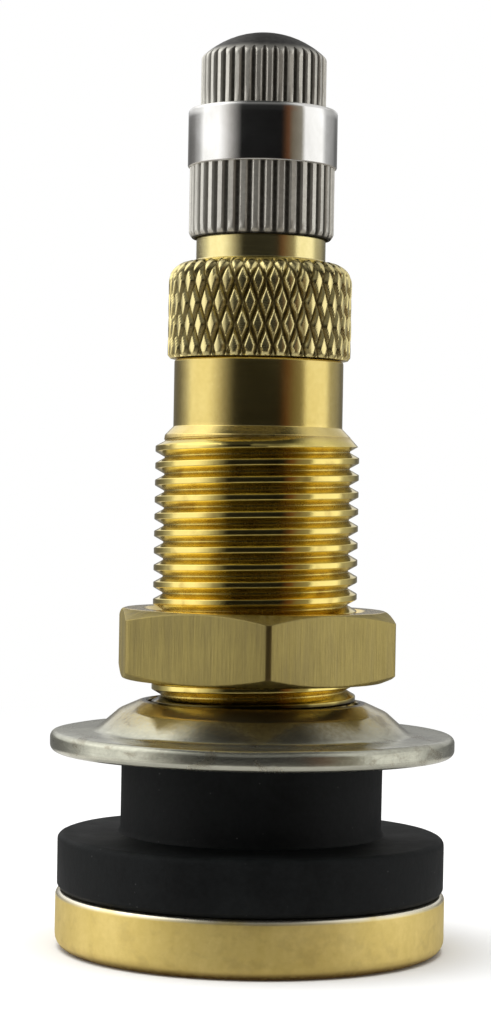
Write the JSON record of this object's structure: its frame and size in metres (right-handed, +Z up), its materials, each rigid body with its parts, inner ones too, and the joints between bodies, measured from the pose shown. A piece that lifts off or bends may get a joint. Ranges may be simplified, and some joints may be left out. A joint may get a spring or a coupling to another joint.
{
  "type": "tyre valve",
  "caption": "Clamp-in tyre valve: brass base and threaded stem, rubber grommet, dished washer and hex nut to clamp a wheel rim, knurled core housing with a sprung core, ribbed metal cap.",
  "frame": {"origin": "middle of the base's underside, on the stem's axis", "axes": "+Z up the stem towards the cap; -Y is the side that the picture shows"},
  "size_m": [0.0242, 0.0242, 0.0547],
  "materials": {
    "stem_brass": "turned, bright",
    "housing_brass": "turned and knurled, bright",
    "nut_brass": "drawn bar, satin",
    "core_brass": "turned, satin",
    "pin_metal": "drawn wire, satin",
    "cap_nickel": "nickel plated, polished band",
    "washer_zinc": "zinc plated, dull",
    "spring_steel": "drawn wire",
    "black_rubber": "moulded, matte",
    "red_seal": "matte"
  },
  "bodies": {
    "base": {"spud": "stem_brass", "grommet": "black_rubber"},
    "washer": {"ring_washer": "washer_zinc"},
    "nut": {"hex_nut": "nut_brass"},
    "shank_ring": {"housing_gasket": "black_rubber"},
    "housing": {"core_housing": "housing_brass"},
    "seal_ring": {"cap_seal": "black_rubber"},
    "cap": {"cap_shell": "cap_nickel"},
    "core": {"core_barrel": "core_brass", "barrel_gasket": "red_seal", "core_spring": "spring_steel"},
    "swivel": {"core_swivel": "core_brass"},
    "plunger": {"core_pin": "pin_metal", "pin_cup": "core_brass", "cup_gasket": "black_rubber"}
  },
  "joints": [
    {"name": "washer_lift", "type": "slide", "parent": "base", "child": "washer", "axis": [0, 0, 1], "range_m": [0, 0.045]},
    {"name": "nut_travel", "type": "slide", "parent": "washer", "child": "nut", "axis": [0, 0, 1], "range_m": [-0.00125, 0.01455]},
    {"name": "housing_lift", "type": "slide", "parent": "base", "child": "shank_ring", "axis": [0, 0, 1], "range_m": [0, 0.0056]},
    {"name": "housing_turn", "type": "hinge", "parent": "shank_ring", "child": "housing", "pos_m": [0, 0, 0.04], "axis": [0, 0, 1], "range_deg": [0, 2521]},
    {"name": "cap_lift", "type": "slide", "parent": "housing", "child": "seal_ring", "axis": [0, 0, 1], "range_m": [0, 0.00635]},
    {"name": "cap_turn", "type": "hinge", "parent": "seal_ring", "child": "cap", "pos_m": [0, 0, 0.04], "axis": [0, 0, 1], "range_deg": [0, 2881]},
    {"name": "core_lift", "type": "slide", "parent": "housing", "child": "core", "axis": [0, 0, 1], "range_m": [0, 0.00353]},
    {"name": "core_turn", "type": "hinge", "parent": "core", "child": "swivel", "pos_m": [0, 0, 0.04], "axis": [0, 0, 1], "range_deg": [0, 1801]},
    {"name": "pin_press", "type": "slide", "parent": "core", "child": "plunger", "axis": [0, 0, 1], "range_m": [-0.001, 0], "stiffness_N_per_m": 800, "springref_m": 0.003, "deforming": ["core_spring"]}
  ],
  "couplings": [
    {"joint": "housing_turn", "follows": "housing_lift", "rad_per_m": 7854},
    {"joint": "cap_turn", "follows": "cap_lift", "rad_per_m": 7915.8},
    {"joint": "core_turn", "follows": "core_lift", "rad_per_m": 8905.3}
  ]
}
